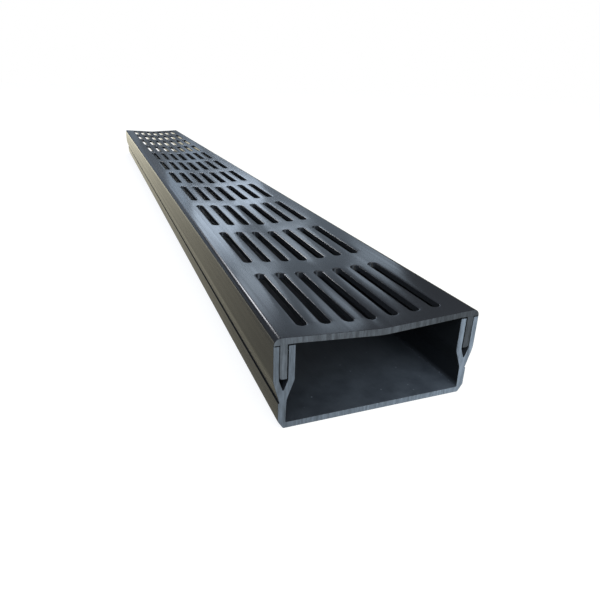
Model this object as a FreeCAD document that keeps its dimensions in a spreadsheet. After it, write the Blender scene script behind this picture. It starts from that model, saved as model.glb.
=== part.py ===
import FreeCAD, Part
import math
import os
from enum import IntEnum
from typing import NamedTuple

import Sketcher

# Threshold drain: a trough with a forked top on each wall, and a slotted grate
# whose two legs stand in the forks. Both are one extruded length, cut square.
#
# X runs across the drain, Y along it and Z up. The origin is on the underside,
# at the middle of the length and of the width. All sizes are in millimetres.

SIZES = [
    # The whole drain
    ("length", 1000.0),
    ("width", 107.0),
    # Walls of the trough, from the floor up
    ("floor_thickness", 3.2),
    ("lower_wall", 3.8),
    ("lower_wall_height", 12.7),
    ("foot_bevel_width", 2.7),
    ("foot_bevel_height", 4.2),
    ("notch_depth", 0.6),
    ("notch_height", 2.6),
    ("neck_inset", 3.0),
    ("neck_wall", 3.5),
    ("flare_height", 9.9),
    ("arm_height", 18.1),
    ("outer_arm", 2.8),
    ("inner_arm", 3.2),
    ("inner_arm_drop", 0.5),
    ("groove_depth", 17.6),
    ("vee_depth", 5.8),
    # Grate
    ("lip_height", 3.7),
    ("lip_radius", 2.9),
    ("dish_depth", 2.9),
    ("dish_radius", 60.0),
    ("plate_thickness", 3.6),
    ("ledge_overhang", 0.5),
    ("leg_thickness", 3.6),
    ("leg_toe_radius", 1.5),
    # Clearances between the legs and the grooves
    ("leg_outer_gap", 0.15),
    ("leg_inner_gap", 0.45),
    ("leg_end_gap", 0.5),
    # Slots
    ("slot_width", 5.2),
    ("slot_length", 70.0),
    ("slot_pitch", 12.0),
    ("slot_margin", 14.0),
    ("row_gap", 20.0),
    # Roundings of the extruded corners
    ("shoulder_radius", 6.0),
    ("neck_radius", 10.0),
    ("bend_radius", 1.0),
    ("edge_radius", 0.4),
]

# Places and counts that follow from the sizes. An x is measured out from the
# middle of the width, for the right half, and a z up from the underside. The
# widest rounding is the share of a lip's side that its rounded top may take.
PLACES = [
    ("widest_rounding", "=0.9"),
    ("centre_x", "=0"),
    ("half_width", "=Sizes.width / 2"),
    ("groove_out_x", "=half_width - Sizes.outer_arm"),
    ("leg_out_x", "=groove_out_x - Sizes.leg_outer_gap"),
    ("leg_in_x", "=leg_out_x - Sizes.leg_thickness"),
    ("groove_in_x", "=leg_in_x - Sizes.leg_inner_gap"),
    ("arm_in_x", "=groove_in_x - Sizes.inner_arm"),
    ("ledge_x", "=arm_in_x - Sizes.ledge_overhang"),
    ("neck_out_x", "=half_width - Sizes.neck_inset"),
    ("neck_in_x", "=neck_out_x - Sizes.neck_wall"),
    ("vee_x", "=(neck_out_x + neck_in_x) / 2"),
    ("wall_out_x", "=neck_out_x + Sizes.notch_depth"),
    ("wall_in_x", "=wall_out_x - Sizes.lower_wall"),
    ("foot_x", "=wall_out_x - Sizes.foot_bevel_width"),
    ("underside_z", "=0"),
    ("foot_z", "=Sizes.foot_bevel_height"),
    ("floor_z", "=Sizes.floor_thickness"),
    ("wall_z", "=Sizes.lower_wall_height"),
    ("neck_z", "=wall_z + Sizes.notch_height"),
    ("shoulder_z", "=neck_z + Sizes.flare_height"),
    ("rim_z", "=shoulder_z + Sizes.arm_height"),
    ("inner_rim_z", "=rim_z - Sizes.inner_arm_drop"),
    ("groove_z", "=rim_z - Sizes.groove_depth"),
    ("vee_z", "=groove_z - Sizes.vee_depth"),
    ("leg_z", "=groove_z + Sizes.leg_end_gap"),
    ("top_z", "=rim_z + Sizes.lip_height"),
    ("dish_z", "=top_z - Sizes.dish_depth"),
    ("under_dish_z", "=dish_z - Sizes.plate_thickness"),
    ("edge_round", "=Sizes.edge_radius"),
    ("bend_round", "=Sizes.bend_radius"),
    ("shoulder_round", "=Sizes.shoulder_radius"),
    ("neck_round", "=Sizes.neck_radius"),
    ("dish_round", "=Sizes.dish_radius"),
    ("lip_side", "=Sizes.lip_height - Sizes.edge_radius"),
    ("lip_round", "=min(Sizes.lip_radius; widest_rounding * lip_side)"),
    ("toe_round", "=min(Sizes.leg_toe_radius; Sizes.leg_thickness / 2)"),
    ("slot_round", "=Sizes.slot_width / 2"),
    ("slot_room", "=half_width - Sizes.slot_margin - slot_round"),
    ("slots_across", "=1 + 2 * floor(slot_room / Sizes.slot_pitch)"),
    ("slot_rows", "=floor(Sizes.length / (Sizes.slot_length + Sizes.row_gap))"),
    ("row_pitch", "=Sizes.length / slot_rows"),
    ("slot_x", "=(slots_across - 1) / 2 * Sizes.slot_pitch"),
    ("row_y", "=(slot_rows - 1) / 2 * row_pitch"),
    ("slot_reach", "=Sizes.slot_length / 2 - slot_round"),
    ("slot_end_y", "=row_y + slot_reach"),
    ("slot_start_y", "=row_y - slot_reach"),
]

# The right half of each cross-section, corner by corner: x, z and rounding. The
# left half mirrors it, and a corner at centre_x stands on the mirror line.
CHANNEL_CORNERS = [
    ("foot_x", "underside_z", "bend_round"),
    ("wall_out_x", "foot_z", "bend_round"),
    ("wall_out_x", "wall_z", "edge_round"),
    ("neck_out_x", "neck_z", None),
    ("half_width", "shoulder_z", "shoulder_round"),
    ("half_width", "rim_z", "edge_round"),
    ("groove_out_x", "rim_z", None),
    ("groove_out_x", "groove_z", "bend_round"),
    ("vee_x", "vee_z", "edge_round"),
    ("groove_in_x", "groove_z", "bend_round"),
    ("groove_in_x", "inner_rim_z", "edge_round"),
    ("arm_in_x", "inner_rim_z", "edge_round"),
    ("arm_in_x", "shoulder_z", "shoulder_round"),
    ("neck_in_x", "neck_z", "neck_round"),
    ("wall_in_x", "floor_z", "edge_round"),
]
GRATE_CORNERS = [
    ("centre_x", "under_dish_z", "dish_round"),
    ("ledge_x", "rim_z", None),
    ("leg_in_x", "rim_z", None),
    ("leg_in_x", "leg_z", "edge_round"),
    ("leg_out_x", "leg_z", "toe_round"),
    ("leg_out_x", "rim_z", None),
    ("half_width", "rim_z", "edge_round"),
    ("half_width", "top_z", "lip_round"),
    ("centre_x", "dish_z", "dish_round"),
]


class Fixed(IntEnum):
    """The numbers that a sketch gives its own fixed axes and origin."""

    ORIGIN = -1
    AXIS_X = -1
    AXIS_Y = -2


class Spot(IntEnum):
    """The numbers that a sketch gives the points of a line or an arc."""

    START = 1
    END = 2
    CENTRE = 3


class Corner(NamedTuple):
    """One corner of an outline, with the names of the values that place it."""

    side: int
    x: str
    z: str
    rounded_by: str
    point: FreeCAD.Vector
    radius: float


def fill_sheet(document, name, rows):
    """Write one named value to each row of a new spreadsheet."""
    sheet = document.addObject("Spreadsheet::Sheet", name)
    for row, (alias, content) in enumerate(rows, start=1):
        sheet.set(f"A{row}", alias)
        sheet.set(f"B{row}", str(content))
        sheet.setAlias(f"B{row}", alias)
    document.recompute()
    return sheet


def new_body(document, label):
    """Start the body of one piece at the drain's own origin."""
    body = document.addObject("PartDesign::Body", label)
    body.Label = label
    body.Placement = FreeCAD.Placement()
    return body


def origin_feature(body, role):
    """Find one of the body's own origin planes or axes."""
    return next(part for part in body.Origin.OriginFeatures if part.Role == role)


def new_sketch(body, name, plane):
    """Attach an empty sketch to one of the body's origin planes."""
    sketch = body.newObject("Sketcher::SketchObject", name)
    sketch.AttachmentSupport = (origin_feature(body, plane), [""])
    sketch.MapMode = "FlatFace"
    return sketch


def bind(sketch, kind, geometry, value, name, alias):
    """Add a measured constraint that takes its value from the places sheet."""
    index = sketch.addConstraint(Sketcher.Constraint(kind, *geometry, value))
    sketch.renameConstraint(index, name)
    sketch.setExpression(f"Constraints.{name}", f"Places.{alias}")


def outline_corners(corners, places):
    """List the corners of both halves, going once round the outline."""
    right = [(1, *corner) for corner in corners]
    left = [(-1, *corner) for corner in reversed(corners) if corner[0] != "centre_x"]
    outline = []
    for side, x, z, rounded_by in right + left:
        point = FreeCAD.Vector(side * places.get(x), places.get(z), 0)
        radius = places.get(rounded_by) if rounded_by else 0
        outline.append(Corner(side, x, z, rounded_by, point, radius))
    return outline


def rounding(before, corner, after):
    """Give the start, the middle and the end of the arc that rounds a corner."""
    back = (before.point - corner.point).normalize()
    onward = (after.point - corner.point).normalize()
    half_angle = back.getAngle(onward) / 2
    reach = corner.radius / math.tan(half_angle)
    depth = corner.radius / math.sin(half_angle) - corner.radius
    inwards = (back + onward).normalize()
    return corner.point + back * reach, corner.point + inwards * depth, corner.point + onward * reach


def join_sharp(sketch, corner, line_in, line_out):
    """Let two lines of an outline meet at their corner."""
    sketch.addConstraint([
        Sketcher.Constraint("Coincident", corner, Spot.START, line_in, Spot.END),
        Sketcher.Constraint("Coincident", corner, Spot.START, line_out, Spot.START),
    ])


def join_round(sketch, corner, line_in, line_out, arc_points):
    """Join two lines of an outline with a tangent arc, and give the arc's number."""
    arc = sketch.addGeometry(Part.Arc(*arc_points), False)
    goes_onward = sketch.getPoint(arc, Spot.START).isEqual(arc_points[0], 1e-6)
    first, last = (Spot.START, Spot.END) if goes_onward else (Spot.END, Spot.START)
    sketch.addConstraint([
        Sketcher.Constraint("Tangent", line_in, Spot.END, arc, first),
        Sketcher.Constraint("Tangent", arc, last, line_out, Spot.START),
        Sketcher.Constraint("PointOnObject", corner, Spot.START, line_in),
        Sketcher.Constraint("PointOnObject", corner, Spot.START, line_out),
    ])
    return arc


def place_corner(sketch, index, corner):
    """Tie a corner's construction point to the places sheet."""
    name = f"corner_{index}"
    origin = (Fixed.ORIGIN, Spot.START)
    point = (index, Spot.START)
    if corner.x == "centre_x":
        sketch.addConstraint(Sketcher.Constraint("PointOnObject", *point, Fixed.AXIS_Y))
    else:
        ends = origin + point if corner.side > 0 else point + origin
        bind(sketch, "DistanceX", ends, abs(corner.point.x), f"{name}_x", corner.x)
    if corner.z == "underside_z":
        sketch.addConstraint(Sketcher.Constraint("PointOnObject", *point, Fixed.AXIS_X))
    else:
        bind(sketch, "DistanceY", origin + point, corner.point.y, f"{name}_z", corner.z)


def draw_outline(sketch, outline):
    """Draw a closed outline through its corners, rounding those that have a radius."""
    count = len(outline)
    arcs = [rounding(outline[i - 1], outline[i], outline[(i + 1) % count]) for i in range(count)]
    for corner in outline:
        sketch.addGeometry(Part.Point(corner.point), True)
    for i in range(count):
        sketch.addGeometry(Part.LineSegment(arcs[i][2], arcs[(i + 1) % count][0]), False)
    for i, corner in enumerate(outline):
        line_in = count + (i - 1) % count
        line_out = count + i
        place_corner(sketch, i, corner)
        if corner.rounded_by is None:
            join_sharp(sketch, i, line_in, line_out)
        else:
            arc = join_round(sketch, i, line_in, line_out, arcs[i])
            bind(sketch, "Radius", (arc,), corner.radius, f"corner_{i}_radius", corner.rounded_by)


def extrude(body, corners, places):
    """Draw a piece's cross-section and extrude it along the drain."""
    sketch = new_sketch(body, f"{body.Label}_section", "XZ_Plane")
    draw_outline(sketch, outline_corners(corners, places))
    pad = body.newObject("PartDesign::Pad", f"{body.Label}_length")
    pad.Profile = sketch
    pad.SideType = "Symmetric"
    pad.setExpression("Length", "Sizes.length")
    body.Document.recompute()


def draw_slot(sketch, places):
    """Draw one round-ended slot, at the corner of the grate where both x and y are largest."""
    radius = places.get("slot_round")
    x = places.get("slot_x")
    far_y = places.get("slot_end_y")
    near_y = places.get("slot_start_y")
    far_end = FreeCAD.Vector(x, far_y, 0)
    near_end = FreeCAD.Vector(x, near_y, 0)
    out = FreeCAD.Vector(radius, 0, 0)
    up = FreeCAD.Vector(0, radius, 0)
    far_arc = sketch.addGeometry(Part.Arc(far_end + out, far_end + up, far_end - out), False)
    left = sketch.addGeometry(Part.LineSegment(far_end - out, near_end - out), False)
    near_arc = sketch.addGeometry(Part.Arc(near_end - out, near_end - up, near_end + out), False)
    right = sketch.addGeometry(Part.LineSegment(near_end + out, far_end + out), False)
    sketch.addConstraint([
        Sketcher.Constraint("Tangent", far_arc, Spot.END, left, Spot.START),
        Sketcher.Constraint("Tangent", left, Spot.END, near_arc, Spot.START),
        Sketcher.Constraint("Tangent", near_arc, Spot.END, right, Spot.START),
        Sketcher.Constraint("Tangent", right, Spot.END, far_arc, Spot.START),
        Sketcher.Constraint("Equal", far_arc, near_arc),
    ])
    bind(sketch, "Radius", (far_arc,), radius, "slot_round", "slot_round")
    for arc, name, y in ((far_arc, "far", far_y), (near_arc, "near", near_y)):
        alias = "slot_end_y" if arc == far_arc else "slot_start_y"
        bind(sketch, "DistanceX", (Fixed.ORIGIN, Spot.START, arc, Spot.CENTRE), x, f"{name}_x", "slot_x")
        bind(sketch, "DistanceY", (Fixed.ORIGIN, Spot.START, arc, Spot.CENTRE), y, f"{name}_y", alias)


def punch_slots(body, places):
    """Cut the first slot up through the plate and repeat it across and along the grate."""
    document = body.Document
    sketch = new_sketch(body, "slot_outline", "XY_Plane")
    draw_slot(sketch, places)
    pocket = body.newObject("PartDesign::Pocket", "first_slot")
    pocket.Profile = sketch
    pocket.Type = "ThroughAll"
    pocket.Reversed = True
    document.recompute()
    pattern = body.newObject("PartDesign::LinearPattern", "slot_grid")
    pattern.Originals = [pocket]
    pattern.Direction = (origin_feature(body, "X_Axis"), [""])
    pattern.Reversed = True
    pattern.setExpression("Length", "2 * Places.slot_x")
    pattern.setExpression("Occurrences", "Places.slots_across")
    pattern.Direction2 = (origin_feature(body, "Y_Axis"), [""])
    pattern.Reversed2 = True
    pattern.setExpression("Length2", "2 * Places.row_y")
    pattern.setExpression("Occurrences2", "Places.slot_rows")
    body.Tip = pattern
    document.recompute()
    slots = places.get("slots_across") * places.get("slot_rows")
    up = FreeCAD.Vector(0, 0, 1)
    slot_ends = [face for face in body.Shape.Faces
                 if isinstance(face.Surface, Part.Cylinder) and face.Surface.Axis.isParallel(up, 1e-6)]
    print(f"slots: {slots}, round slot ends cut: {len(slot_ends)}")
    if len(slot_ends) != 2 * slots:
        raise RuntimeError("some slots did not cut the plate")


def check(document, bodies):
    """Stop if anything in the document failed or a piece is not one sound solid."""
    failed = [item.Name for item in document.Objects if {"Invalid", "Error"} & set(item.State)]
    if failed:
        raise RuntimeError(f"failed objects: {failed}")
    loose = [item.Name for item in document.Objects
             if item.isDerivedFrom("Sketcher::SketchObject") and not item.FullyConstrained]
    if loose:
        raise RuntimeError(f"sketches not fully constrained: {loose}")
    for body in bodies:
        shape = body.Shape
        if shape.isNull() or not shape.isValid() or len(shape.Solids) != 1:
            raise RuntimeError(f"{body.Label} is not one sound solid")


def main():
    document = FreeCAD.newDocument("threshold_drain")
    fill_sheet(document, "Sizes", SIZES)
    places = fill_sheet(document, "Places", PLACES)

    channel = new_body(document, "channel")
    extrude(channel, CHANNEL_CORNERS, places)

    grate = new_body(document, "grate")
    extrude(grate, GRATE_CORNERS, places)
    punch_slots(grate, places)

    bodies = [channel, grate]
    check(document, bodies)
    os.makedirs("parts", exist_ok=True)
    for body in bodies:
        body.Shape.exportStep(f"parts/{body.Label}.step")
        box = body.Shape.BoundBox
        print(f"{body.Label}: {box.XLength:.2f} x {box.YLength:.2f} x {box.ZLength:.2f} mm,",
              f"z {box.ZMin:.2f} to {box.ZMax:.2f}, {body.Shape.Volume / 1000:.1f} cm3")


main()
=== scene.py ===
# %% [markdown]
# # A threshold drain in two extruded pieces
#
# This drain lies across a doorway and carries water away under the step. It is
# made of two lengths of hard black PVC: a trough that is open at both ends, and
# a slotted grate whose two legs stand in grooves along the trough's walls.
#
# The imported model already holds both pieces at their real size, and fixes how
# they move. The lesson builds a finer skin for each piece around it: smooth
# roundings, softly broken slot edges and the two kinds of surface that the real
# drain has, the drawn skin of the plastic and the sawn face of a cut end.

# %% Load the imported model
import math

import bmesh
import bpy
from mathutils import Matrix, Vector


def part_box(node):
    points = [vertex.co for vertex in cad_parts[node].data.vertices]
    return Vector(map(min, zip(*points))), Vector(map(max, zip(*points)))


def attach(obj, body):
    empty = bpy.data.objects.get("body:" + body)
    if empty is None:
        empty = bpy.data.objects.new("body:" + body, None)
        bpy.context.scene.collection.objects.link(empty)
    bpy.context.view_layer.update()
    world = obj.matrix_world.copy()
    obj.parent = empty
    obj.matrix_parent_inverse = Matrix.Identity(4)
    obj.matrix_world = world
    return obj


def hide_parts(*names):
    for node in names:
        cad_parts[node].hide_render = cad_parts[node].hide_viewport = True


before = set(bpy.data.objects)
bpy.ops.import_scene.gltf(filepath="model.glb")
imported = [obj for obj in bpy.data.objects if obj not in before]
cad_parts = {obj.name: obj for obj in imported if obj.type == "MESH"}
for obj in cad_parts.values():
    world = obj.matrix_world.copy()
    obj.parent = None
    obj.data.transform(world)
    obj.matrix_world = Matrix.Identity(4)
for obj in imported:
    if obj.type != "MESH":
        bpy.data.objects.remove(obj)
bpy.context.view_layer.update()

# %% [markdown]
# ## The camera
#
# The photograph was taken from close by, a little to the left of the cut end and
# above it, with a wide lens. The place and the turn of the camera were worked
# out from the corners and slots that the photograph shows, so the perspective of
# the far end agrees with it too. The columns of the turn are the camera's right,
# its up, and the direction behind it.

# %% Place the camera
MM = 0.001

CAMERA_PLACE = Vector((-113.5, -679.5, 145.7)) * MM
CAMERA_AZIMUTH = math.radians(-21.69)
CAMERA_ELEVATION = math.radians(23.05)
CAMERA_ROLL = math.radians(1.89)
CAMERA_LENS = 30.29


def camera_turn(azimuth, elevation, roll):
    """Give the turn of a camera that looks down at an object in front of it."""
    tilt = Matrix.Rotation(math.pi / 2 - elevation, 4, "X")
    return Matrix.Rotation(azimuth, 4, "Z") @ tilt @ Matrix.Rotation(roll, 4, "Z")


camera_data = bpy.data.cameras.new("camera")
camera_data.lens = CAMERA_LENS
camera_data.clip_start = 0.01
camera = bpy.data.objects.new("camera", camera_data)
camera.matrix_world = Matrix.Translation(CAMERA_PLACE) @ camera_turn(
    CAMERA_AZIMUTH, CAMERA_ELEVATION, CAMERA_ROLL)
bpy.context.scene.collection.objects.link(camera)
bpy.context.scene.camera = camera
print("camera at", [round(value, 4) for value in camera.location])

# %% [markdown]
# ## The sizes
#
# An extruded piece is known by its cross-section, so nearly all its sizes are
# wall thicknesses and heights in that section. The overall sizes are read from
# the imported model, and the walls are written here once, in millimetres. An x is
# measured out from the middle of the width and a z up from the underside.

# %% Name the sizes of the two cross-sections
low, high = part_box("channel")
LENGTH = high.y - low.y
HALF_WIDTH = high.x
RIM_Z = high.z
LEG_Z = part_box("grate")[0].z

EDGE = 0.4 * MM
BEND = 1.0 * MM

FLOOR_Z = 3.2 * MM
FOOT_Z = 4.2 * MM
WALL_Z = 14.0 * MM
NECK_Z = WALL_Z + 1.3 * MM
SHOULDER_Z = NECK_Z + 9.9 * MM
GROOVE_Z = RIM_Z - 17.6 * MM
VEE_Z = GROOVE_Z - 5.8 * MM
INNER_RIM_Z = RIM_Z - 0.5 * MM
TOP_Z = RIM_Z + 3.7 * MM
DISH_Z = TOP_Z - 2.9 * MM
UNDER_DISH_Z = DISH_Z - 3.6 * MM

GROOVE_OUT_X = HALF_WIDTH - 2.8 * MM
LEG_OUT_X = GROOVE_OUT_X - 0.15 * MM
LEG_IN_X = LEG_OUT_X - 3.6 * MM
GROOVE_IN_X = LEG_IN_X - 0.45 * MM
ARM_IN_X = GROOVE_IN_X - 3.2 * MM
LEDGE_X = ARM_IN_X - 0.5 * MM
NECK_OUT_X = HALF_WIDTH - 3.0 * MM
NECK_IN_X = NECK_OUT_X - 3.5 * MM
VEE_X = (NECK_OUT_X + NECK_IN_X) / 2
WALL_OUT_X = NECK_OUT_X + 0.6 * MM
WALL_IN_X = WALL_OUT_X - 3.8 * MM
FOOT_X = WALL_OUT_X - 2.7 * MM

print(f"length {LENGTH:.3f} m, half width {HALF_WIDTH:.4f} m, rim at {RIM_Z:.4f} m")

# %% [markdown]
# ## Rounding the corners of an outline
#
# A die for plastic has no perfectly sharp corners, because hot plastic wouldn't
# fill them. The outline is drawn as one flat face with a vertex at each corner.
# Then each corner is bevelled as a vertex. The bevel slides along the two sides
# by the length of a tangent, so the arc that it leaves has the wanted radius.

# %% Make a rounded outline
ARC_STEPS = 6


def rounded_face(corners):
    """Draw an outline in the XZ plane and round each corner by its own radius."""
    mesh = bmesh.new()
    points = [Vector((x, 0, z)) for x, z, radius in corners]
    vertices = [mesh.verts.new(point) for point in points]
    mesh.faces.new(vertices)
    for i, (x, z, radius) in enumerate(corners):
        if radius == 0:
            continue
        before = points[i - 1] - points[i]
        after = points[(i + 1) % len(points)] - points[i]
        tangent = radius / math.tan(before.angle(after) / 2)
        bmesh.ops.bevel(mesh, geom=[vertices[i]], offset=tangent, offset_type="OFFSET",
                        affect="VERTICES", segments=ARC_STEPS, profile=0.5, material=-1)
    return mesh


def mirrored(corners):
    """Add the left half of a section to the corners of its right half."""
    left = [(-x, z, radius) for x, z, radius in reversed(corners) if x != 0]
    return corners + left


# %% [markdown]
# ## The section of the trough
#
# The trough is one extrusion: a flat floor, a low wall on each side, a neck, and
# a fork whose two arms leave a groove for the grate's leg. Going round the right
# half of its section takes eighteen corners, and the left half mirrors them.
#
# Two small forms are drawn as well, because they make thin dark lines that the
# eye looks for. A crease half a millimetre high runs along the outside, where the
# wall ends in a narrow ledge below the neck. The top of the outer arm lies a
# third of a millimetre lower behind its rim, so a slit of shadow shows under the
# grate's lip at the cut end.

# %% Draw the section of the trough
CREASE = 0.45 * MM
CREASE_CUT = 0.06 * MM
LEDGE_RISE = 0.15 * MM
SEAT_RIM = 0.4 * MM
SEAT_RELIEF = 0.35 * MM

channel_corners = mirrored([
    (FOOT_X, 0, BEND),
    (WALL_OUT_X, FOOT_Z, BEND),
    (WALL_OUT_X, WALL_Z, 0.15 * MM),
    (NECK_OUT_X - CREASE_CUT, WALL_Z + LEDGE_RISE, 0),
    (NECK_OUT_X + CREASE_CUT, WALL_Z + CREASE, 0),
    (HALF_WIDTH, SHOULDER_Z, 14 * MM),
    (HALF_WIDTH, RIM_Z, 0.15 * MM),
    (HALF_WIDTH - SEAT_RIM, RIM_Z, 0),
    (HALF_WIDTH - 1.5 * SEAT_RIM, RIM_Z - SEAT_RELIEF, 0),
    (GROOVE_OUT_X, RIM_Z - SEAT_RELIEF, 0),
    (GROOVE_OUT_X, GROOVE_Z, BEND),
    (VEE_X, VEE_Z, EDGE),
    (GROOVE_IN_X, GROOVE_Z, BEND),
    (GROOVE_IN_X, INNER_RIM_Z, EDGE),
    (ARM_IN_X, INNER_RIM_Z, EDGE),
    (ARM_IN_X, SHOULDER_Z, 6 * MM),
    (NECK_IN_X, NECK_Z, 10 * MM),
    (WALL_IN_X, FLOOR_Z, EDGE),
])
print("corners of the trough's section:", len(channel_corners))

# %% [markdown]
# ## Cut ends
#
# A saw leaves two flat faces, with sharp edges that are then broken by a tenth
# of a millimetre. The end faces are found by the way they look, along the drain,
# and get the sawn finish. A bevel breaks their edges, and the narrow faces that
# it leaves get the skin's finish, so that they catch a thin line of light.

# %% Saw the ends
SKIN = 0
SAWN = 1
INSIDE = 2
CUT_EDGE = 0.12 * MM


def finish_ends(mesh):
    """Mark the two cut faces, which look along the drain, as sawn and break their edges."""
    bmesh.ops.recalc_face_normals(mesh, faces=mesh.faces[:])
    ends = [face for face in mesh.faces if abs(face.normal.y) > 0.99]
    for face in ends:
        face.material_index = SAWN
    rims = {edge for face in ends for edge in face.edges}
    broken = bmesh.ops.bevel(mesh, geom=list(rims), offset=CUT_EDGE, offset_type="OFFSET",
                             affect="EDGES", segments=2, profile=0.5, material=-1)
    for face in broken["faces"]:
        face.material_index = SKIN


print(f"the edges of a cut end are broken by {CUT_EDGE / MM:.2f} mm")

# %% [markdown]
# ## Pushing the trough through its die
#
# Pushing plastic through a die is what an extrude does to a face. The section
# goes to the near end, and the extruded copy moves on by the whole length. The
# faces that look into the trough get a finish of their own: it is duller than the
# outside, and its colour is darker, as painted shade inside the trough. The
# crease gets it too, as painted shade in the crease.

# %% Extrude the trough
channel_mesh = rounded_face(channel_corners)
bmesh.ops.translate(channel_mesh, verts=channel_mesh.verts[:], vec=(0, -LENGTH / 2, 0))
drawn = bmesh.ops.extrude_face_region(channel_mesh, geom=channel_mesh.faces[:])
drawn_vertices = [item for item in drawn["geom"] if isinstance(item, bmesh.types.BMVert)]
bmesh.ops.translate(channel_mesh, verts=drawn_vertices, vec=(0, LENGTH, 0))
finish_ends(channel_mesh)
for face in channel_mesh.faces:
    middle = face.calc_center_median()
    faces_in = face.normal.x * middle.x < 0 or face.normal.z > 0.9
    in_trough = abs(middle.x) < WALL_IN_X + 0.1 * MM and middle.z > FLOOR_Z - 0.1 * MM
    in_crease = abs(middle.x) > VEE_X and 0 < middle.z - WALL_Z < CREASE
    # painted shade: faces inside the trough and in the crease get the darker finish
    if (faces_in and in_trough or in_crease) and face.material_index != SAWN:
        face.material_index = INSIDE
print("faces of the trough:", len(channel_mesh.faces))

# %% [markdown]
# ## One slot of the grate
#
# The slots are punched in a grid, seven across and eleven along, so the plate is
# the same small cell over and over. The cell is drawn flat, with its slot in the
# middle. A vertex spun through half a turn makes a round end, and a copy turned
# by half a turn makes the other. The outline is then extruded twice: by a narrow
# band, and out to the four sides of the cell. The slot's own edge sinks a little
# below the band, because a punch draws the plastic down with it as it enters.

# %% Draw the flat cell
SLOT_WIDTH = 5.2 * MM
SLOT_LENGTH = 70 * MM
SLOTS_ACROSS = 7
SLOT_ROWS = 11
CELL_X = 6 * MM
CELL_Y = LENGTH / SLOT_ROWS / 2
END_STEPS = 16
ROLLED_BAND = 0.9 * MM
ROLL_DEPTH = 0.22 * MM
REACH = (SLOT_LENGTH - SLOT_WIDTH) / 2


def slot_outline(mesh):
    """Draw a round-ended slot as a ring of edges."""
    middle = Vector((0, REACH, 0))
    start = mesh.verts.new(middle + Vector((SLOT_WIDTH / 2, 0, 0)))
    bmesh.ops.spin(mesh, geom=[start], cent=middle, axis=(0, 0, 1), angle=math.pi,
                   steps=END_STEPS, use_merge=False)
    half = mesh.verts[:] + mesh.edges[:]
    copy = bmesh.ops.duplicate(mesh, geom=half)["geom"]
    turned = [item for item in copy if isinstance(item, bmesh.types.BMVert)]
    bmesh.ops.rotate(mesh, verts=turned, cent=(0, 0, 0), matrix=Matrix.Rotation(math.pi, 3, "Z"))
    mesh.verts.ensure_lookup_table()
    count = END_STEPS + 1
    mesh.edges.new((mesh.verts[count - 1], mesh.verts[count]))
    mesh.edges.new((mesh.verts[2 * count - 1], mesh.verts[0]))


def grow_outline(mesh, place):
    """Extrude the outer edges once and put each new vertex in its place."""
    outer = [edge for edge in mesh.edges if len(edge.link_faces) < 2 and edge.select]
    grown = bmesh.ops.extrude_edge_only(mesh, edges=outer)["geom"]
    for edge in outer:
        edge.select = False
    for item in grown:
        if isinstance(item, bmesh.types.BMVert):
            place(item)
        if isinstance(item, bmesh.types.BMEdge):
            item.select = all(v in grown for v in item.verts)


def widen(vertex):
    """Move a vertex away from the slot by the width of the rolled band."""
    end = Vector((0, math.copysign(REACH, vertex.co.y), 0))
    vertex.co = end + (vertex.co - end) * (1 + ROLLED_BAND / (SLOT_WIDTH / 2))


def spread_to_cell(vertex):
    """Move a vertex of the slot's outline straight out to the side of the cell."""
    end = math.copysign(REACH, vertex.co.y)
    across = vertex.co.x
    along = vertex.co.y - end
    rise = CELL_Y - REACH
    if abs(across) * (1 + 1e-6) >= abs(along):
        vertex.co.y = end + rise * along / abs(across)
        vertex.co.x = math.copysign(CELL_X, across)
    else:
        vertex.co.x = CELL_X * across / abs(along)
        vertex.co.y = end + math.copysign(rise, along)


cell = bmesh.new()
slot_outline(cell)
slot_edge = cell.verts[:]
for edge in cell.edges:
    edge.select = True
grow_outline(cell, widen)
grow_outline(cell, spread_to_cell)
bmesh.ops.translate(cell, verts=slot_edge, vec=(0, 0, -ROLL_DEPTH))
print("faces of one flat cell:", len(cell.faces))

# %% [markdown]
# ## The thickness of the plate and the soft slot edges
#
# The flat cell is extruded down by the plate's thickness. That also makes walls
# along the sides of the cell, where the next cell follows, so those are taken
# away. Small bevels soften the upper edge of the slot and, by less, the lower
# one. Together with the sunken band they draw the thin bright line along each
# slot.

# %% Thicken the cell and round its slot
PLATE = 3.6 * MM
PUNCHED_EDGE = 0.2 * MM
LOWER_EDGE = 0.15 * MM


def on_cell_side(vertex):
    """Tell whether a vertex lies on one of the four sides of the cell."""
    at_side = abs(abs(vertex.co.x) - CELL_X) < 0.01 * MM
    at_end = abs(abs(vertex.co.y) - CELL_Y) < 0.01 * MM
    return at_side or at_end


def slot_rim(mesh, z):
    """List the edges of the slot at one height, where its wall begins."""
    return [edge for edge in mesh.edges
            if all(abs(v.co.z - z) < 0.01 * MM for v in edge.verts)
            and any(abs(face.normal.z) < 0.2 for face in edge.link_faces)]


bmesh.ops.recalc_face_normals(cell, faces=cell.faces[:])
sunk = bmesh.ops.extrude_face_region(cell, geom=cell.faces[:], use_keep_orig=True)
sunk_vertices = [item for item in sunk["geom"] if isinstance(item, bmesh.types.BMVert)]
for vertex in sunk_vertices:
    vertex.co.z = -PLATE
sides = [face for face in cell.faces if all(on_cell_side(v) for v in face.verts)]
bmesh.ops.delete(cell, geom=sides, context="FACES")
cell.normal_update()
for height, radius, steps in ((-ROLL_DEPTH, PUNCHED_EDGE, 2), (-PLATE, LOWER_EDGE, 1)):
    bmesh.ops.bevel(cell, geom=slot_rim(cell, height), offset=radius, offset_type="OFFSET",
                    affect="EDGES", segments=steps, profile=0.5, material=-1)
print("faces of one thick cell:", len(cell.faces))

# %% [markdown]
# ## The grid of slots, dished
#
# The cell is copied across and along, and vertices that meet are merged. The
# real plate isn't flat: it falls by about three millimetres to its middle, so
# that water runs to the slots. The flat sheet is laid over that shallow dish by
# giving each vertex the height that the upper or the lower face has at its x.

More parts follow.
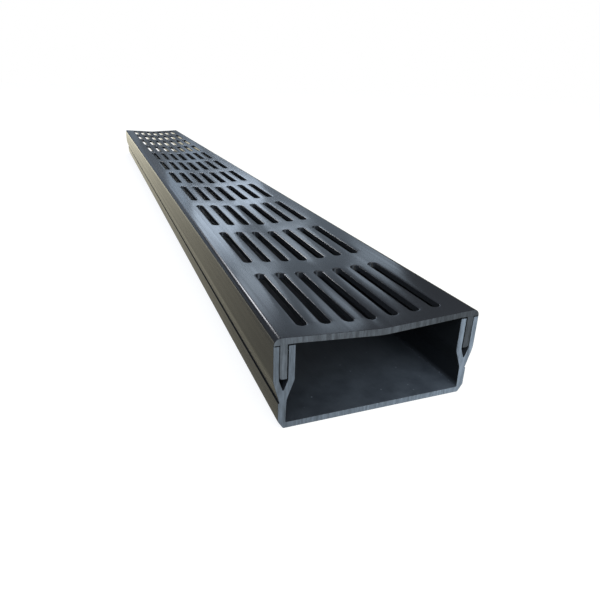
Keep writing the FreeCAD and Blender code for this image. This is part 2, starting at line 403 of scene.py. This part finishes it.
# %% Copy the cell into a plate
DISH_RADIUS = 60 * MM
SHEET_X = SLOTS_ACROSS * CELL_X


def dish_height(x, lowest, rise, run):
    """Give the height of a shallow vee whose point is rounded by the dish's radius."""
    slope = rise / run
    turn = math.atan(slope)
    tangent = DISH_RADIUS * math.sin(turn)
    if abs(x) >= tangent:
        return lowest + slope * abs(x)
    centre = lowest + slope * tangent + DISH_RADIUS * math.cos(turn)
    return centre - math.sqrt(DISH_RADIUS ** 2 - x ** 2)


def upper_face(x):
    return dish_height(x, DISH_Z, TOP_Z - DISH_Z, HALF_WIDTH)


def lower_face(x):
    return dish_height(x, UNDER_DISH_Z, RIM_Z - UNDER_DISH_Z, LEDGE_X)


def copy_along(mesh, step, count):
    """Repeat all of a mesh a number of times, each copy one step further on."""
    original = mesh.verts[:] + mesh.edges[:] + mesh.faces[:]
    for number in range(1, count):
        copy = bmesh.ops.duplicate(mesh, geom=original)["geom"]
        moved = [item for item in copy if isinstance(item, bmesh.types.BMVert)]
        bmesh.ops.translate(mesh, verts=moved, vec=step * number)
    bmesh.ops.remove_doubles(mesh, verts=mesh.verts[:], dist=0.005 * MM)


plate = cell
first_place = Vector((CELL_X - SHEET_X, CELL_Y - LENGTH / 2, 0))
bmesh.ops.translate(plate, verts=plate.verts[:], vec=first_place)
copy_along(plate, Vector((2 * CELL_X, 0, 0)), SLOTS_ACROSS)
copy_along(plate, Vector((0, 2 * CELL_Y, 0)), SLOT_ROWS)
for vertex in plate.verts:
    depth = -vertex.co.z / PLATE
    upper, lower = upper_face(vertex.co.x), lower_face(vertex.co.x)
    vertex.co.z = upper + (lower - upper) * depth
print("faces of the slotted plate:", len(plate.faces))

# %% [markdown]
# ## The lips and the legs
#
# Outside the slots the grate is a plain extrusion: a rounded lip that covers the
# wall of the trough, and a leg that goes down into the groove. Instead of
# building these apart and joining them, the long edge of the plate is extruded
# again and again round the outline, like folding a strip of sheet metal, until
# it comes back under the plate and meets its lower face.

# %% Fold the lips and the legs
LEG_TOE = 1.5 * MM
LIP_ROUND = 3.4 * MM

edge_outline = [
    (SHEET_X, upper_face(SHEET_X), 0),
    (HALF_WIDTH, TOP_Z, LIP_ROUND),
    (HALF_WIDTH, RIM_Z, 0.15 * MM),
    (LEG_OUT_X, RIM_Z, 0),
    (LEG_OUT_X, LEG_Z, LEG_TOE),
    (LEG_IN_X, LEG_Z, EDGE),
    (LEG_IN_X, RIM_Z, 0),
    (LEDGE_X, RIM_Z, 0),
    (SHEET_X, lower_face(SHEET_X), 0),
]


def outline_path(corners):
    """List the points of a rounded outline, from its first corner round to its last."""
    mesh = rounded_face(corners)
    mesh.faces.ensure_lookup_table()
    points = [vertex.co.copy() for vertex in mesh.faces[0].verts]
    mesh.free()
    start = min(range(len(points)), key=lambda i: (points[i] - Vector((corners[0][0], 0, corners[0][1]))).length)
    points = points[start:] + points[:start]
    last = Vector((corners[-1][0], 0, corners[-1][1]))
    if (points[1] - last).length < 0.01 * MM:
        points = points[:1] + points[:0:-1]
    return points


def fold_along(mesh, side, path):
    """Extrude one long edge of the upper face round the path."""
    start = path[0]
    chain = [edge for edge in mesh.edges if edge.is_boundary
             and all(abs(v.co.x - side * start.x) < 0.01 * MM and abs(v.co.z - start.z) < 0.01 * MM
                     for v in edge.verts)]
    for here, there in zip(path, path[1:]):
        grown = bmesh.ops.extrude_edge_only(mesh, edges=chain)["geom"]
        fresh = {item for item in grown if isinstance(item, bmesh.types.BMVert)}
        step = there - here
        bmesh.ops.translate(mesh, verts=list(fresh), vec=(side * step.x, 0, step.z))
        chain = [item for item in grown if isinstance(item, bmesh.types.BMEdge)
                 and all(v in fresh for v in item.verts)]


path = outline_path(edge_outline)
for side in (-1, 1):
    fold_along(plate, side, path)
bmesh.ops.remove_doubles(plate, verts=plate.verts[:], dist=0.005 * MM)
open_edges = [edge for edge in plate.edges if edge.is_boundary]
bmesh.ops.holes_fill(plate, edges=open_edges, sides=0)
finish_ends(plate)
print("steps round the lip and the leg:", len(path) - 1)
print("open edges left:", sum(edge.is_boundary for edge in plate.edges))

# %% [markdown]
# ## Black plastic
#
# Both pieces are black PVC, but what the eye sees is mostly reflection. A
# Principled shader gives it: a nearly black colour, and a roughness that a noise
# pattern varies a little. The noise is stretched along the drain, because a die
# leaves fine lines in the direction in which the plastic left it.

# %% Make the patterns that the finishes share
def new_material(name):
    """Start a material with one Principled shader, and give its nodes and links."""
    material = bpy.data.materials.new(name)
    material.use_nodes = True
    tree = material.node_tree
    return material, tree, tree.nodes["Principled BSDF"]


def stretched_noise(tree, scale, stretch, detail=3.0, roughness=0.6):
    """Add a noise pattern in Object coordinates, stretched by its own mapping."""
    place = tree.nodes.new("ShaderNodeTexCoord")
    mapping = tree.nodes.new("ShaderNodeMapping")
    mapping.inputs["Scale"].default_value = stretch
    noise = tree.nodes.new("ShaderNodeTexNoise")
    noise.inputs["Scale"].default_value = scale
    noise.inputs["Detail"].default_value = detail
    noise.inputs["Roughness"].default_value = roughness
    tree.links.new(place.outputs["Object"], mapping.inputs["Vector"])
    tree.links.new(mapping.outputs["Vector"], noise.inputs["Vector"])
    return noise.outputs["Fac"]


def spread(tree, value, low, high):
    """Turn a pattern's middle values into a range from low to high."""
    node = tree.nodes.new("ShaderNodeMapRange")
    node.inputs["From Min"].default_value = 0.3
    node.inputs["From Max"].default_value = 0.7
    node.inputs["To Min"].default_value = low
    node.inputs["To Max"].default_value = high
    tree.links.new(value, node.inputs["Value"])
    return node.outputs["Result"]


def two_tones(tree, value, dark, light):
    """Mix two colours by a pattern."""
    ramp = tree.nodes.new("ShaderNodeValToRGB")
    ramp.color_ramp.elements[0].position = 0.35
    ramp.color_ramp.elements[0].color = (*dark, 1)
    ramp.color_ramp.elements[1].position = 0.65
    ramp.color_ramp.elements[1].color = (*light, 1)
    tree.links.new(value, ramp.inputs["Fac"])
    return ramp.outputs["Color"]


def raise_bumps(tree, shader, value, strength, distance):
    """Let a pattern tilt the surface a little."""
    bump = tree.nodes.new("ShaderNodeBump")
    bump.inputs["Strength"].default_value = strength
    bump.inputs["Distance"].default_value = distance
    tree.links.new(value, bump.inputs["Height"])
    tree.links.new(bump.outputs["Normal"], shader.inputs["Normal"])


print("patterns are ready")

# %% [markdown]
# ## Drawn skins
#
# The grate is the smoothest, with the clearest reflections. The trough's outside
# shows more of the die's lines, and its inside is the dullest. The inside's colour
# is darker as well, as painted shade in the trough.

# %% Make the skins
def drawn_skin(name, dark, light, smooth, rough, shine=0.5):
    """Make the skin of a piece as it left the die."""
    material, tree, shader = new_material(name)
    shader.inputs["Specular IOR Level"].default_value = shine
    die_lines = stretched_noise(tree, 420, (1, 0.008, 1))
    clouds = stretched_noise(tree, 14, (1, 0.35, 1))
    tree.links.new(two_tones(tree, clouds, dark, light), shader.inputs["Base Color"])
    tree.links.new(spread(tree, die_lines, smooth, rough), shader.inputs["Roughness"])
    return material


grate_skin = drawn_skin("grate_skin", (0.016, 0.018, 0.022), (0.022, 0.025, 0.030), 0.13, 0.20)
channel_skin = drawn_skin("channel_skin", (0.020, 0.024, 0.030), (0.030, 0.035, 0.041), 0.2, 0.28)
# painted shade: the inside's colours are about half as bright as the outer skin's
channel_inside_shaded = drawn_skin("channel_inside_shaded", (0.008, 0.010, 0.013), (0.012, 0.015, 0.019), 0.4, 0.5, 0.2)
print("skins:", grate_skin.name, channel_skin.name, channel_inside_shaded.name)

# %% [markdown]
# ## Dust and painted light near the cut ends
#
# Sawing leaves pale specks of dust on the trough's floor near the cut. The floor
# there is also painted paler, as painted light that falls in at the open ends,
# and the paler tone grows towards the right, as painted shade on the left. A mask
# from the distance along the drain and the height above the floor says where,
# and mixes that paler tone into the skin. The few larger specks of dust come from
# a Voronoi pattern, which has one point in each cell: only close to that point is
# the surface pale.

# %% Dust the floor of the trough and paint light on it
DUST_AND_LIGHT_DEPTH = 70 * MM
PAINTED_LIGHT_DARK = (0.021, 0.026, 0.033)
PAINTED_LIGHT_PALE = (0.032, 0.039, 0.048)
SPECK = (0.13, 0.155, 0.18)


def paint_light_across(tree, colour, left, right):
    """Paint light and shade into a colour, brighter or darker from the left side of the drain to its right."""
    place = tree.nodes.new("ShaderNodeTexCoord")
    parts = tree.nodes.new("ShaderNodeSeparateXYZ")
    tree.links.new(place.outputs["Object"], parts.inputs["Vector"])
    slope = tree.nodes.new("ShaderNodeMapRange")
    slope.inputs["From Min"].default_value = -HALF_WIDTH
    slope.inputs["From Max"].default_value = HALF_WIDTH
    slope.inputs["To Min"].default_value = left
    slope.inputs["To Max"].default_value = right
    tree.links.new(parts.outputs["X"], slope.inputs["Value"])
    scale = tree.nodes.new("ShaderNodeVectorMath")
    scale.operation = "SCALE"
    tree.links.new(colour, scale.inputs["Vector"])
    tree.links.new(slope.outputs["Result"], scale.inputs["Scale"])
    return scale.outputs["Vector"]


def dust_and_light_the_ends(material):
    """Paint light on the skin near both cut ends, paler towards the right, and add a few specks of saw dust."""
    tree = material.node_tree
    shader = tree.nodes["Principled BSDF"]
    plain = shader.inputs["Base Color"].links[0].from_socket
    place = tree.nodes.new("ShaderNodeTexCoord")
    parts = tree.nodes.new("ShaderNodeSeparateXYZ")
    tree.links.new(place.outputs["Object"], parts.inputs["Vector"])
    reach = tree.nodes.new("ShaderNodeMath")
    reach.operation = "ABSOLUTE"
    tree.links.new(parts.outputs["Y"], reach.inputs[0])
    near_end = tree.nodes.new("ShaderNodeMapRange")
    near_end.interpolation_type = "SMOOTHSTEP"
    near_end.inputs["From Min"].default_value = LENGTH / 2 - DUST_AND_LIGHT_DEPTH
    near_end.inputs["From Max"].default_value = LENGTH / 2
    tree.links.new(reach.outputs["Value"], near_end.inputs["Value"])
    low_down = tree.nodes.new("ShaderNodeMapRange")
    low_down.inputs["From Min"].default_value = FLOOR_Z + 3 * MM
    low_down.inputs["From Max"].default_value = FLOOR_Z + 0.3 * MM
    tree.links.new(parts.outputs["Z"], low_down.inputs["Value"])
    settled_and_lit = tree.nodes.new("ShaderNodeMath")
    settled_and_lit.operation = "MULTIPLY"
    tree.links.new(near_end.outputs["Result"], settled_and_lit.inputs[0])
    tree.links.new(low_down.outputs["Result"], settled_and_lit.inputs[1])
    grains = tree.nodes.new("ShaderNodeTexVoronoi")
    grains.inputs["Scale"].default_value = 140
    tree.links.new(place.outputs["Object"], grains.inputs["Vector"])
    specks = tree.nodes.new("ShaderNodeMapRange")
    specks.inputs["From Min"].default_value = 0.08
    specks.inputs["From Max"].default_value = 0.03
    specks.inputs["To Min"].default_value = 0
    specks.inputs["To Max"].default_value = 1
    tree.links.new(grains.outputs["Distance"], specks.inputs["Value"])
    clouds = stretched_noise(tree, 90, (1, 1, 1))
    # painted light: the paler tone near the open ends, stronger towards the right side
    painted_light = paint_light_across(tree, two_tones(tree, clouds, PAINTED_LIGHT_DARK, PAINTED_LIGHT_PALE), 0.6, 2.2)
    lit_near_ends = tree.nodes.new("ShaderNodeMix")
    lit_near_ends.data_type = "RGBA"
    tree.links.new(settled_and_lit.outputs["Value"], lit_near_ends.inputs["Factor"])
    tree.links.new(plain, lit_near_ends.inputs["A"])
    tree.links.new(painted_light, lit_near_ends.inputs["B"])
    speckled = tree.nodes.new("ShaderNodeMix")
    speckled.data_type = "RGBA"
    speckled.inputs["B"].default_value = (*SPECK, 1)
    amount = tree.nodes.new("ShaderNodeMath")
    amount.operation = "MULTIPLY"
    tree.links.new(specks.outputs["Result"], amount.inputs[0])
    tree.links.new(settled_and_lit.outputs["Value"], amount.inputs[1])
    tree.links.new(amount.outputs["Value"], speckled.inputs["Factor"])
    tree.links.new(lit_near_ends.outputs["Result"], speckled.inputs["A"])
    tree.links.new(speckled.outputs["Result"], shader.inputs["Base Color"])


dust_and_light_the_ends(channel_inside_shaded)
print(f"dust reaches {DUST_AND_LIGHT_DEPTH / MM:.0f} mm into the trough")

# %% [markdown]
# ## Sawn ends
#
# A cut end has lost its smooth skin. The saw leaves a paler, duller face with
# uneven upright scratches. They come from a noise pattern stretched upwards,
# which colours the face and also tilts it. Light and shade are painted into that
# colour too: the trough's face is painted lighter towards the right and the
# grate's towards the left, so each finish gets a share of its tone for either side.

# %% Make the sawn faces
def sawn_face(name, dark, light, scratches, left, right):
    """Make the face that a saw leaves."""
    material, tree, shader = new_material(name)
    marks = stretched_noise(tree, 520, (1, 1, 0.10), detail=6.0, roughness=0.8)
    colour = paint_light_across(tree, two_tones(tree, marks, dark, light), left, right)
    tree.links.new(colour, shader.inputs["Base Color"])
    tree.links.new(spread(tree, marks, 0.42, 0.6), shader.inputs["Roughness"])
    raise_bumps(tree, shader, marks, scratches, 0.06 * MM)
    return material


# painted light and shade: the last two numbers scale the tone at the left and right sides
grate_sawn = sawn_face("grate_sawn", (0.032, 0.040, 0.050), (0.142, 0.166, 0.196), 0.9, 1.1, 0.64)
channel_sawn = sawn_face("channel_sawn", (0.060, 0.076, 0.096), (0.176, 0.214, 0.262), 0.8, 0.95, 1.8)
print("sawn faces:", grate_sawn.name, channel_sawn.name)

# %% [markdown]
# ## The two pieces
#
# Each mesh now becomes one piece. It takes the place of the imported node, and
# rides on the body of that node, so the grate rises with its joint. Weighted
# normals keep the large flat faces flat in the shading, so that the light on the
# thin bevels doesn't spread over them.

# %% Put the pieces in place
def make_piece(mesh, name, node, materials):
    """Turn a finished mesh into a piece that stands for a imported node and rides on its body."""
    data = bpy.data.meshes.new(name)
    mesh.to_mesh(data)
    mesh.free()
    data.shade_smooth()
    data.set_sharp_from_angle(angle=math.radians(32))
    for material in materials:
        data.materials.append(material)
    piece = bpy.data.objects.new(name, data)
    bpy.context.scene.collection.objects.link(piece)
    even = piece.modifiers.new("even_shading", "WEIGHTED_NORMAL")
    even.weight = 100
    even.keep_sharp = True
    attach(piece, node)
    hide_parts(node)
    triangles = sum(len(face.vertices) - 2 for face in data.polygons)
    print(f"{name}: {len(data.vertices)} vertices, {triangles} triangles")
    return piece


channel_piece = make_piece(channel_mesh, "channel_shell", "channel", [channel_skin, channel_sawn, channel_inside_shaded])
grate_piece = make_piece(plate, "grate_shell", "grate", [grate_skin, grate_sawn])

# %% [markdown]
# ## The floor and the background
#
# The floor is plain and pale and the background is white. Most of the white that
# the camera sees is a glow that only camera rays meet, so it puts no light on
# the drain. The rest is the floor's own lit colour, which keeps the soft shadow.
#
# Black plastic shows what stands around it. The real drain lay on a khaki table
# in a dim room, and its outer wall mirrors that table. So glossy rays meet a warm
# glow on the floor, and only a little of the white world. The glow is stronger
# further off, and in a band along the drain's foot, which the low part of the
# wall mirrors.

# %% Lay the floor and the background
def strength_by_ray(tree, shares):
    """Give each kind of ray its own strength of light."""
    path = tree.nodes.new("ShaderNodeLightPath")
    total = None
    for kind, share in shares.items():
        part = tree.nodes.new("ShaderNodeMath")
        part.operation = "MULTIPLY_ADD"
        part.inputs[1].default_value = share
        part.inputs[2].default_value = 0
        tree.links.new(path.outputs[kind], part.inputs[0])
        if total:
            tree.links.new(total, part.inputs[2])
        total = part.outputs["Value"]
    return total


FLOOR_HALF = 12.0

floor_mesh = bmesh.new()
bmesh.ops.create_grid(floor_mesh, x_segments=1, y_segments=1, size=FLOOR_HALF)
bmesh.ops.translate(floor_mesh, verts=floor_mesh.verts[:], vec=(0, 0, -0.05 * MM))
floor_data = bpy.data.meshes.new("floor")
floor_mesh.to_mesh(floor_data)
floor_mesh.free()
floor = bpy.data.objects.new("floor", floor_data)
bpy.context.scene.collection.objects.link(floor)

floor_material, tree, shader = new_material("floor_paper")
shader.inputs["Base Color"].default_value = (0.2, 0.18, 0.13, 1)
shader.inputs["Roughness"].default_value = 0.9
white_glow = tree.nodes.new("ShaderNodeEmission")
white_glow.inputs["Color"].default_value = (0.84, 0.86, 0.9, 1)
direct = strength_by_ray(tree, {"Is Camera Ray": 1, "Is Transmission Ray": 1})
tree.links.new(direct, white_glow.inputs["Strength"])
warm_glow = tree.nodes.new("ShaderNodeEmission")
warm_glow.inputs["Color"].default_value = (1.0, 0.955, 0.75, 1)
place = tree.nodes.new("ShaderNodeTexCoord")
parts = tree.nodes.new("ShaderNodeSeparateXYZ")
tree.links.new(place.outputs["Object"], parts.inputs["Vector"])
distance = tree.nodes.new("ShaderNodeMapRange")
distance.inputs["From Min"].default_value = -0.42
distance.inputs["From Max"].default_value = 2.0
distance.inputs["To Min"].default_value = 0
distance.inputs["To Max"].default_value = 1.95
tree.links.new(parts.outputs["Y"], distance.inputs["Value"])
aside = tree.nodes.new("ShaderNodeMath")
aside.operation = "ABSOLUTE"
tree.links.new(parts.outputs["X"], aside.inputs[0])
foot = tree.nodes.new("ShaderNodeMapRange")
foot.inputs["From Min"].default_value = 0.07
foot.inputs["From Max"].default_value = 0.052
foot.inputs["To Min"].default_value = 0
foot.inputs["To Max"].default_value = 0.21
tree.links.new(aside.outputs["Value"], foot.inputs["Value"])
warmth = tree.nodes.new("ShaderNodeMath")
warmth.operation = "ADD"
tree.links.new(distance.outputs["Result"], warmth.inputs[0])
tree.links.new(foot.outputs["Result"], warmth.inputs[1])
reflected = strength_by_ray(tree, {"Is Glossy Ray": 1})
dim = tree.nodes.new("ShaderNodeMath")
dim.operation = "MULTIPLY"
tree.links.new(warmth.outputs["Value"], dim.inputs[0])
tree.links.new(reflected, dim.inputs[1])
tree.links.new(dim.outputs["Value"], warm_glow.inputs["Strength"])
glows = tree.nodes.new("ShaderNodeAddShader")
tree.links.new(white_glow.outputs["Emission"], glows.inputs[0])
tree.links.new(warm_glow.outputs["Emission"], glows.inputs[1])
both = tree.nodes.new("ShaderNodeAddShader")
tree.links.new(shader.outputs["BSDF"], both.inputs[0])
tree.links.new(glows.outputs["Shader"], both.inputs[1])
tree.links.new(both.outputs["Shader"], tree.nodes["Material Output"].inputs["Surface"])
floor_data.materials.append(floor_material)

world = bpy.data.worlds.new("studio")
bpy.context.scene.world = world
world.use_nodes = True
tree = world.node_tree
background = tree.nodes["Background"]
background.inputs["Color"].default_value = (1, 1, 1, 1)
around = strength_by_ray(tree, {"Is Camera Ray": 1, "Is Transmission Ray": 1,
                                "Is Glossy Ray": 0.05, "Is Diffuse Ray": 0.35})
tree.links.new(around, background.inputs["Strength"])

# %% [markdown]
# ## The lamps
#
# A reflection shows how bright a lamp's surface is, so each soft panel is given
# that brightness, and its power follows from its area. Three broad dim panels
# are the wall behind the drain, and one at their left is what the rounded lip
# mirrors. Three small bright ones are windows, where the plate mirrors them, and
# a narrow dimmer one is the frame of the first. The highest and brightest is a
# strip of sky, which draws the thin line along the nearest slots and the lip. A
# dimmer strip below it carries that line further back. One panel in front, at
# the left, lights the cut end. A sun with a wide disc adds plain light from
# above.

# %% Hang the lamps
def soft_panel(name, azimuth, elevation, distance, size, brightness, colour):
    """Hang a soft panel around the near end of the drain, facing it."""
    light = bpy.data.lights.new(name, "AREA")
    light.shape = "RECTANGLE"
    light.size, light.size_y = size
    light.energy = brightness * math.pi * size[0] * size[1]
    light.color = colour
    turn = math.radians(azimuth)
    rise = math.radians(elevation)
    aim = Vector((0, -LENGTH / 4, 0))
    way = Vector((math.sin(turn) * math.cos(rise), math.cos(turn) * math.cos(rise), math.sin(rise)))
    panel = bpy.data.objects.new(name, light)
    panel.location = aim + way * distance
    panel.rotation_euler = way.to_track_quat("Z", "Y").to_euler()
    panel.visible_camera = False
    bpy.context.scene.collection.objects.link(panel)
    print(f"{name} at {[round(value, 2) for value in panel.location]}")


sky = bpy.data.lights.new("overhead", "SUN")
sky.energy = 1.4
sky.angle = math.radians(50)
overhead = bpy.data.objects.new("overhead", sky)
overhead.location.z = 3
overhead.rotation_euler.y = math.radians(8)
bpy.context.scene.collection.objects.link(overhead)

soft_panel("far_wall", 18, 16.2, 6.0, (3.0, 2.1), 0.19, (0.62, 0.79, 1.0))
soft_panel("low_wall", 18, 2.5, 6.0, (3.0, 0.8), 0.08, (0.62, 0.79, 1.0))
soft_panel("left_wall", -11, 11.5, 6.0, (3.2, 1.8), 0.27, (0.62, 0.79, 1.0))
soft_panel("upper_wall", 20, 20, 5.95, (2.6, 1.7), 0.2, (0.68, 0.84, 1.0))
soft_panel("window", 13.0, 14.6, 5.9, (0.6, 0.64), 2.1, (0.7, 0.83, 1.0))
soft_panel("window_frame", 8.2, 10.2, 5.9, (0.25, 0.44), 0.8, (0.62, 0.79, 1.0))
soft_panel("window_top", 18.6, 21.0, 5.9, (0.52, 0.7), 1.6, (0.72, 0.85, 1.0))
soft_panel("small_window", 30.0, 22.3, 5.9, (0.6, 0.4), 1.4, (0.7, 0.84, 1.0))
soft_panel("sky_window", 5.0, 29.4, 5.9, (1.0, 0.56), 9.5, (0.95, 0.97, 1.0))
soft_panel("low_sky", 5.0, 23.6, 5.9, (1.0, 0.6), 2.0, (0.95, 0.97, 1.0))
soft_panel("front_left", 192, 36, 2.5, (2.8, 2.0), 3.3, (0.88, 0.94, 1.0))

# %% [markdown]
# ## Colours as they are written
#
# The Standard view shows a colour as it is written, without a film look.

# %% Finish
bpy.context.scene.view_settings.view_transform = "Standard"
